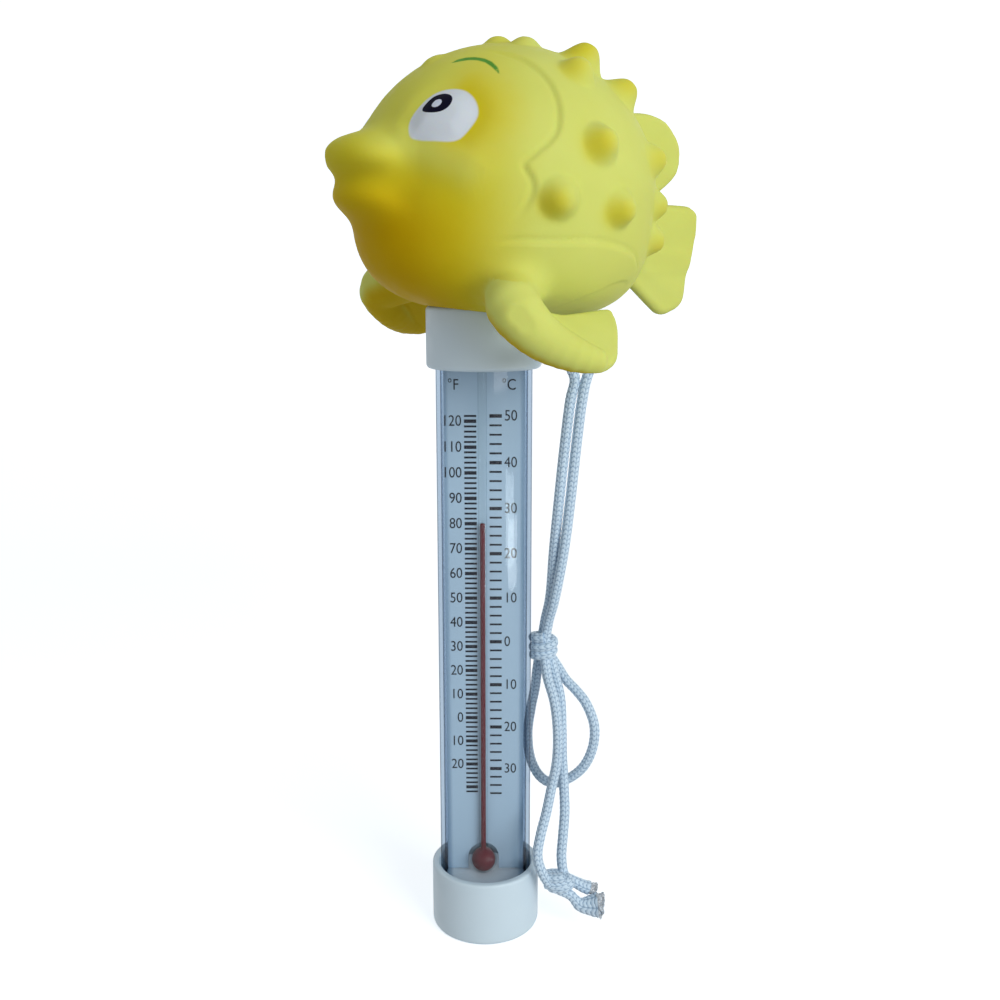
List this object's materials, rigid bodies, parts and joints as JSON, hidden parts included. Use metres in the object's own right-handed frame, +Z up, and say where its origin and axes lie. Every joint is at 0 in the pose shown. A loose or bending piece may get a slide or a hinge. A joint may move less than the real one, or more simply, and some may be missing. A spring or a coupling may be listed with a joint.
{
  "type": "floating pool thermometer",
  "caption": "Floating pool thermometer: a hollow vinyl puffer fish on a clear tube with a printed scale card, a glass stem, two end caps and a doubled cord.",
  "frame": {"origin": "middle of the bottom cap's flat underside, on the tube's axis", "axes": "+Z up along the tube, the scale faces -Y, the cord's lug is on +X"},
  "size_m": [0.0922, 0.0854, 0.2274],
  "materials": {
    "yellow_vinyl": "soft matte moulded vinyl",
    "white_plastic": "satin moulded plastic",
    "clear_plastic": "clear polished tube",
    "printed_card": "coated card with dark blue print",
    "stem_glass": "clear glass",
    "red_spirit": "dyed liquid",
    "ballast_steel": "plain pressed steel",
    "white_foam": "closed-cell foam",
    "black_rubber": "moulded rubber",
    "braided_cord": "braided nylon",
    "melted_nylon": "melted clear nylon"
  },
  "bodies": {
    "float_body": {"top_cap": "white_plastic", "top_seal": "black_rubber", "clear_tube": "clear_plastic", "card_retainer": "white_plastic", "scale_card": "printed_card", "stem_clip": "white_plastic", "glass_stem": "stem_glass", "spirit_bulb": "red_spirit", "spirit_column": "red_spirit", "ballast_disc_1": "ballast_steel", "ballast_disc_2": "ballast_steel", "ballast_disc_3": "ballast_steel", "ballast_pad": "white_foam", "bottom_seal": "black_rubber", "bottom_cap": "white_plastic", "cord_bight": "braided_cord", "cord_strand_outer": "braided_cord", "cord_strand_inner": "braided_cord", "knot_upper": "braided_cord", "cord_leg_left": "braided_cord", "cord_leg_right": "braided_cord", "cord_slack_loop": "braided_cord", "knot_lower": "braided_cord", "cord_tail_left": "braided_cord", "cord_tail_right": "braided_cord", "tail_tip_left": "melted_nylon", "tail_tip_right": "melted_nylon"},
    "spirit": {"spirit_meniscus": "red_spirit"},
    "fish": {"fish_shell": "yellow_vinyl"}
  },
  "joints": [
    {"name": "spirit_rise", "type": "slide", "parent": "float_body", "child": "spirit", "axis": [0, 0, 1], "range_m": [-0.0676, 0.0273], "deforming": ["spirit_column"]},
    {"name": "fish_pull_off", "type": "slide", "parent": "float_body", "child": "fish", "axis": [0, 0, 1], "range_m": [0, 0.02]}
  ]
}
